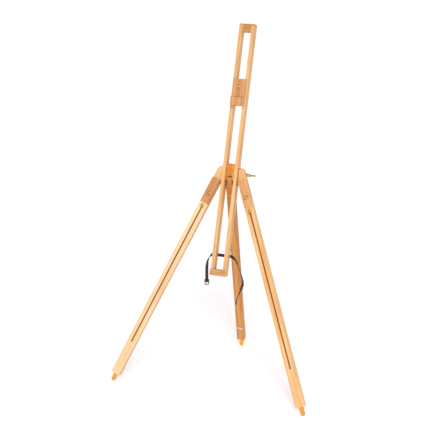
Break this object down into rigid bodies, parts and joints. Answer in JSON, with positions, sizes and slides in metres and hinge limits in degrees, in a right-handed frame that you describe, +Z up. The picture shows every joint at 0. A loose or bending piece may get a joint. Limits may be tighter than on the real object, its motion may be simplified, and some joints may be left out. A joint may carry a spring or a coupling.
{
  "type": "artist easel",
  "caption": "Folding wooden field easel: slotted mast with a sliding canvas holder on telescopic legs with clamp wing nuts.",
  "frame": {"origin": "on the floor, at the middle of the object's box from side to side and from front to back", "axes": "+Z up, +X to the right of someone painting at the easel, +Y towards the back, where the rear leg stands"},
  "size_m": [0.8514, 0.5618, 1.457],
  "materials": {
    "pale_wood": "clear satin lacquer",
    "dark_wood": "clear satin lacquer",
    "oiled_wood": "oiled",
    "brass": "satin",
    "steel": "zinc plated",
    "webbing": "woven"
  },
  "bodies": {
    "head": {"head_tongue": "dark_wood", "head_block_left": "pale_wood", "head_block_right": "pale_wood", "leg_pivot_pins": "steel", "rear_hinge_pin": "steel", "tilt_bolt": "brass", "tilt_nut": "brass", "head_bolt": "brass"},
    "head_nut": {"head_wing_nut": "brass"},
    "mast": {"mast_rail_left": "pale_wood", "mast_rail_right": "pale_wood", "mast_top_block": "dark_wood", "mast_cap": "dark_wood", "mast_foot_block": "dark_wood", "strap_band": "webbing", "strap_screws": "steel", "strap_buckle_end": "webbing", "strap_long_end": "webbing", "strap_buckle": "steel"},
    "canvas_holder": {"holder_plate": "dark_wood", "holder_guide": "dark_wood", "holder_back_plate": "dark_wood", "holder_bolt": "brass"},
    "holder_nut": {"holder_wing_nut": "brass"},
    "leg_left": {"leg_arm_left": "pale_wood", "leg_block_left": "dark_wood", "leg_board_left": "pale_wood", "leg_strips_left": "pale_wood", "arm_bolt_left": "brass", "leg_keeper_left": "brass"},
    "arm_nut_left": {"arm_wing_nut_left": "brass"},
    "extension_left": {"extension_bar_left": "pale_wood", "foot_left": "oiled_wood", "clamp_bolt_left": "brass"},
    "clamp_nut_left": {"clamp_wing_nut_left": "brass"},
    "leg_right": {"leg_arm_right": "pale_wood", "leg_block_right": "dark_wood", "leg_board_right": "pale_wood", "leg_strips_right": "pale_wood", "arm_bolt_right": "brass", "leg_keeper_right": "brass"},
    "arm_nut_right": {"arm_wing_nut_right": "brass"},
    "extension_right": {"extension_bar_right": "pale_wood", "foot_right": "oiled_wood", "clamp_bolt_right": "brass"},
    "clamp_nut_right": {"clamp_wing_nut_right": "brass"},
    "leg_rear": {"leg_arm_rear": "pale_wood", "leg_block_rear": "dark_wood", "leg_board_rear": "pale_wood", "leg_strips_rear": "pale_wood", "arm_bolt_rear": "brass", "leg_keeper_rear": "brass"},
    "arm_nut_rear": {"arm_wing_nut_rear": "brass"},
    "extension_rear": {"extension_bar_rear": "pale_wood", "foot_rear": "oiled_wood", "clamp_bolt_rear": "brass"},
    "clamp_nut_rear": {"clamp_wing_nut_rear": "brass"}
  },
  "joints": [
    {"name": "mast_tilt", "type": "hinge", "parent": "head", "child": "mast", "pos_m": [0, 0.05939, 0.9005], "axis": [-1, 0, 0], "range_deg": [0, 70]},
    {"name": "canvas_holder_slide", "type": "slide", "parent": "mast", "child": "canvas_holder", "axis": [0, 0.3502, 0.9367], "range_m": [-0.21, 0.19]},
    {"name": "holder_nut_turn", "type": "hinge", "parent": "canvas_holder", "child": "holder_nut", "pos_m": [0, 0.14394, 1.21373], "axis": [0, -0.9367, 0.3502], "continuous": true},
    {"name": "head_nut_turn", "type": "hinge", "parent": "head", "child": "head_nut", "pos_m": [0.061, 0.07394, 0.86517], "axis": [1, 0, 0], "continuous": true},
    {"name": "left_leg_fold", "type": "hinge", "parent": "head", "child": "leg_left", "pos_m": [-0.053, 0.02748, 0.85799], "axis": [0, -0.9367, 0.3502], "range_deg": [0, 22]},
    {"name": "left_extension_slide", "type": "slide", "parent": "leg_left", "child": "extension_left", "axis": [-0.3746, -0.3247, -0.8685], "range_m": [0, 0.65]},
    {"name": "left_arm_nut_turn", "type": "hinge", "parent": "leg_left", "child": "arm_nut_left", "pos_m": [-0.0811, 0.00172, 0.79338], "axis": [0, -0.9367, 0.3502], "continuous": true},
    {"name": "left_clamp_nut_turn", "type": "hinge", "parent": "extension_left", "child": "clamp_nut_left", "pos_m": [-0.10282, -0.0173, 0.74308], "axis": [0, -0.9367, 0.3502], "continuous": true},
    {"name": "right_leg_fold", "type": "hinge", "parent": "head", "child": "leg_right", "pos_m": [0.053, 0.02748, 0.85799], "axis": [0, 0.9367, -0.3502], "range_deg": [0, 22]},
    {"name": "right_extension_slide", "type": "slide", "parent": "leg_right", "child": "extension_right", "axis": [0.3746, -0.3247, -0.8685], "range_m": [0, 0.65]},
    {"name": "right_arm_nut_turn", "type": "hinge", "parent": "leg_right", "child": "arm_nut_right", "pos_m": [0.0811, 0.00172, 0.79338], "axis": [0, -0.9367, 0.3502], "continuous": true},
    {"name": "right_clamp_nut_turn", "type": "hinge", "parent": "extension_right", "child": "clamp_nut_right", "pos_m": [0.10282, -0.0173, 0.74308], "axis": [0, -0.9367, 0.3502], "continuous": true},
    {"name": "rear_leg_fold", "type": "hinge", "parent": "head", "child": "leg_rear", "pos_m": [0, 0.03591, 0.85483], "axis": [-1, 0, 0], "range_deg": [0, 25.5]},
    {"name": "rear_extension_slide", "type": "slide", "parent": "leg_rear", "child": "extension_rear", "axis": [0, 0.2028, -0.9792], "range_m": [0, 0.54]},
    {"name": "rear_arm_nut_turn", "type": "hinge", "parent": "leg_rear", "child": "arm_nut_rear", "pos_m": [0, 0.07021, 0.78535], "axis": [0, 0.9792, 0.2028], "continuous": true},
    {"name": "rear_clamp_nut_turn", "type": "hinge", "parent": "extension_rear", "child": "clamp_nut_rear", "pos_m": [0, 0.08217, 0.72859], "axis": [0, 0.9792, 0.2028], "continuous": true}
  ]
}
